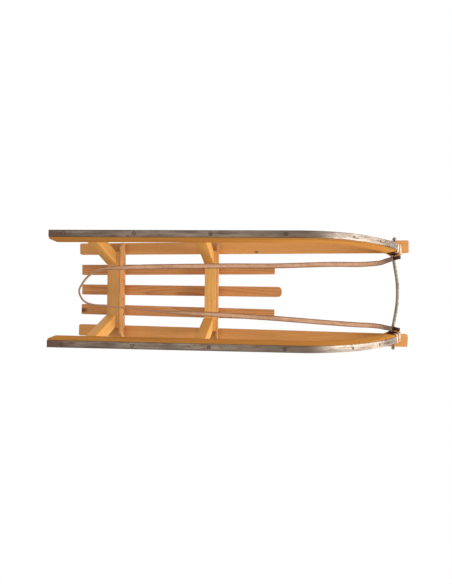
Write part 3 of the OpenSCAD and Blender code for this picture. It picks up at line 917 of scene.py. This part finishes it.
def threaded_end(sign):
    """One end's chamfered shoulder and its thread, which is a real helix and tapers at the tip."""
    chamfer, tip_taper = 0.6 * MM, 0.8 * MM
    rings = [straight_ring(sign * (ROD_SHOULDER_Y - chamfer), lambda a: ROD_R),
             straight_ring(sign * ROD_SHOULDER_Y, lambda a: ROD_R - chamfer),
             straight_ring(sign * ROD_SHOULDER_Y, lambda a: THREAD_R - 0.3 * MM)]
    rows = round((ROD_HALF - ROD_SHOULDER_Y) / (THREAD_PITCH / 6))
    for k in range(1, rows + 1):
        y = ROD_SHOULDER_Y + (ROD_HALF - ROD_SHOULDER_Y) * k / rows
        taper = max(0.0, (y - ROD_HALF + tip_taper) / tip_taper)

        def thread_radius(a, y=y, taper=taper):
            turn = (y / THREAD_PITCH - a / math.tau) % 1.0
            return THREAD_R - 0.62 * MM * abs(2 * turn - 1) - 0.5 * MM * taper

        rings.append(straight_ring(sign * y, thread_radius))
    return rings


def make_rod(material):
    """Bowed bar with thinner, threaded ends."""
    obj = sweep("pull_rod_steel", threaded_end(-1)[::-1] + bowed_rings() + threaded_end(1))
    dress(obj, "pull_rod", material, 40)


def make_washers(material):
    """Flat rings with chamfered edges."""
    e = 0.3 * MM
    pieces = []
    for lo, hi in islands("rod_washers"):
        t, r = hi.y - lo.y, (hi.x - lo.x) / 2
        profile = [(BORE_R, e), (BORE_R + e, 0), (r - e, 0), (r, e), (r, t - e), (r - e, t), (BORE_R + e, t),
                   (BORE_R, t - e)]
        at = Vector((ROD_X, lo.y, ROD_Z))
        pieces.append(turned("washer", profile, at, Vector((0, 1, 0)), 72, closed=True))
    dress(join("rod_washers_steel", pieces), "rod_washers", material, 25)


def make_nuts(material):
    """Hexagons whose corners are turned off on both faces."""
    flat_r, face_r, e, sides = 5.0 * MM, 4.85 * MM, 0.5 * MM, 96
    sixth = math.pi / 3
    pieces = []
    for lo, hi in islands("rod_nuts"):
        t = hi.y - lo.y
        verts = []
        for a in round_angles(sides):
            outer = flat_r / math.cos((a + sixth / 2) % sixth - sixth / 2)
            drop = max(0.0, outer - face_r) * 0.55
            profile = [(BORE_R, e), (BORE_R + e, 0), (face_r, 0), (outer, drop), (outer, t - drop),
                       (face_r, t), (BORE_R + e, t), (BORE_R, t - e)]
            verts += [Vector((ROD_X + r * math.cos(a), lo.y + h, ROD_Z + r * math.sin(a)))
                      for r, h in profile]
        pieces.append(mesh_object("nut", verts, lathe_faces(sides, len(profile), closed=True)))
    dress(join("rod_nuts_steel", pieces), "rod_nuts", material, 25)


rod_steel = plated_steel("rod_steel", srgb(168, 158, 140), 0.42, 0.60, rust=0.0)
nut_steel = plated_steel("nut_steel", srgb(136, 130, 120), 0.34, 0.52, rust=0.04)
make_rod(rod_steel)
make_washers(nut_steel)
make_nuts(nut_steel)


# ---- strap ends ----

TURN_W = 0.018
TURN_T = 0.0024
TURNS = ((45.8, 0.030, 0.10), (48.6, 0.033, -0.06))  # degrees round the toe, rise and skew
LOOP_Y = 0.116
LOOP_W = 0.012
LOOP_T = 0.0015
LOOP_REACH = 0.0108
LOOP_SKEW = 0.0055


def rod_loop():
    """Strap wound loosely round the rod, each turn larger than the last, askew towards the runner."""
    turns, steps = 1.6, 90
    centres = []
    for k in range(steps + 1):
        wound = turns * k / steps
        a = math.radians(200) - math.tau * wound
        r = ROD_R + (0.9 + 1.6 * wound) * MM
        ahead = 0.5 + 0.5 * math.cos(a)
        place = Vector((ROD_X + LOOP_REACH * ahead, LOOP_Y + LOOP_SKEW * (ahead - 0.5), ROD_Z))
        centres.append(place + Vector((math.cos(a), 0, math.sin(a))) * r)
    along_rod = Vector((0, 1, 0))
    faces = [heading(centres, k).cross(along_rod).normalized() for k in range(len(centres))]
    return band("loop", centres, [along_rod] * len(centres), faces, LOOP_W, LOOP_T, [0.0] * len(centres))


def tip_turn(degrees, rise, skew):
    """One turn of the strap under the runner's tip and up both of its sides, paler side out, though up the
    runner's inner side it takes the strap end's dark colour as painted shade.

    rise is how high over the sole it ends, and skew how far it leans along the runner.
    """
    angle = math.radians(degrees)
    gap, corner = 0.3 * MM, 3.5 * MM
    half = RUNNER_T / 2 + gap + TURN_T / 2
    depth = SHOE_T - gap - TURN_T / 2
    bend = depth + corner
    path = [(-half, rise * (1 - k / 6) + bend * k / 6) for k in range(6)]
    for t in (math.radians(90 * k / 8) for k in range(9)):
        path.append((corner * (1 - math.cos(t)) - half, bend - corner * math.sin(t)))
    path += [(-half * 0.4, depth - 0.2 * MM), (0, depth - 0.3 * MM)]
    path += [(-w, h) for w, h in reversed(path[:-1])]
    centres = [on_runner(ARC_X, angle + skew * w, h, w) for w, h in path]
    along_sole = Vector((math.cos(angle), 0, math.sin(angle)))
    faces = [heading(centres, k).cross(along_sole).normalized() for k in range(len(centres))]
    # Painted shade: above the bend on the runner's inner side the turn gets 0, the strap end's dark colour
    end_distances_and_shade = [0.0 if w < 0 and h > bend else PALE for w, h in path]
    return band("turn", centres, [along_sole] * len(centres), faces, TURN_W, TURN_T, end_distances_and_shade)


def make_strap_end(side):
    """The strap's end: loosely round the rod, then two turns round the runner's tip."""
    obj = join(f"strap_end_{side}_leather", [rod_loop()] + [tip_turn(*turn) for turn in TURNS])
    if side == "right":
        mirror(obj)
    dress(obj, f"strap_end_{side}", strap_leather, 50)


for name in ("left", "right"):
    make_strap_end(name)


# ---- screws and pegs, which keep their CAD shape ----

def keep_node(node, material):
    """Gives a CAD node that stays its material."""
    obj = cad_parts[node]
    obj.data.materials.clear()
    obj.data.materials.append(material)


screw_steel = plated_steel("screw_steel", srgb(104, 94, 84), 0.36, 0.56, rust=0.10)
for name in ("shoe_screws_left", "shoe_screws_right", "slat_screws", "tip_screws", "board_screws"):
    keep_node(name, screw_steel)
keep_node("leg_pegs", wood("leg_pegs", srgb(214, 158, 96), srgb(160, 104, 56), 77, (1, 0, 0), ring=0.0016,
                           pith=(0.004, 0.004)))


# ---- floor and light ----

FLOOR_HALF = 40.0
FLOOR_Z = -0.4 * MM
EVEN_LIGHT = 0.37


def make_floor():
    """Pale floor that is seen from above only, so that the underside can be looked at from below."""
    corners = [(x * FLOOR_HALF, y * FLOOR_HALF, FLOOR_Z) for x, y in ((-1, -1), (1, -1), (1, 1), (-1, 1))]
    obj = mesh_object("floor", corners, [(0, 1, 2, 3)])
    sh = Shader("floor")
    grey = sh.remap(sh.noise(sh.place(), (2, 2, 2), detail=4.0), 0.3, 0.7, 0.80, 0.84, "LINEAR")
    sh.finish(color=sh.vector(grey, grey, grey), rough=0.7)
    clear = sh.node("ShaderNodeBsdfTransparent").outputs[0]
    back = sh.node("ShaderNodeNewGeometry").outputs["Backfacing"]
    both = sh.node("ShaderNodeMixShader", {0: back, 1: sh.surface.outputs[0], 2: clear}).outputs[0]
    output = next(n for n in sh.tree.nodes if n.type == "OUTPUT_MATERIAL")
    sh.feed(output.inputs["Surface"], both)
    obj.data.materials.append(sh.material)
    obj.visible_diffuse = False
    obj.visible_glossy = False
    obj.visible_shadow = False
    obj.visible_transmission = False


def make_world():
    """White backdrop to the camera and a dimmer, even light on the object."""
    world = bpy.data.worlds.new("world")
    world.use_nodes = True
    scene.world = world
    tree = world.node_tree
    background = tree.nodes["Background"]
    seen = tree.nodes.new("ShaderNodeLightPath").outputs["Is Camera Ray"]
    level = tree.nodes.new("ShaderNodeMapRange")
    level.inputs["To Min"].default_value = EVEN_LIGHT
    level.inputs["To Max"].default_value = 1.0
    tree.links.new(seen, level.inputs["Value"])
    tree.links.new(level.outputs[0], background.inputs["Strength"])
    background.inputs["Color"].default_value = (1, 1, 1, 1)


def area_light(name, place, target, size, power, colour=(1, 1, 1)):
    """Rectangle of light: size is its level width and its height."""
    data = bpy.data.lights.new(name, "AREA")
    data.shape = "RECTANGLE"
    data.size, data.size_y = size
    data.energy = power
    data.color = colour
    obj = add_object(name, data)
    place = Vector(place)
    obj.matrix_world = Matrix.LocRotScale(place, (Vector(target) - place).to_track_quat("-Z", "Y"), None)


make_floor()
make_world()
area_light("front_below", (2.0, 0, -1.25), (0.1, 0, 0.1), (1.5, 0.8), 30, (1.0, 0.97, 0.92))
area_light("front", (2.3, 0, 0.75), (0.1, 0, 0.1), (2.0, 1.2), 60, (1.0, 0.95, 0.88))
area_light("middle_below", (-0.6, 0, -2.4), (-0.2, 0, 0.1), (2.0, 2.0), 27)
area_light("key_above", (0.9, 1.6, 2.2), (0, 0, 0.1), (1.4, 1.4), 38, (1.0, 0.98, 0.95))
area_light("fill_above", (-1.6, -1.2, 1.8), (0, 0, 0.1), (1.8, 1.8), 20)
scene.view_settings.view_transform = "Standard"
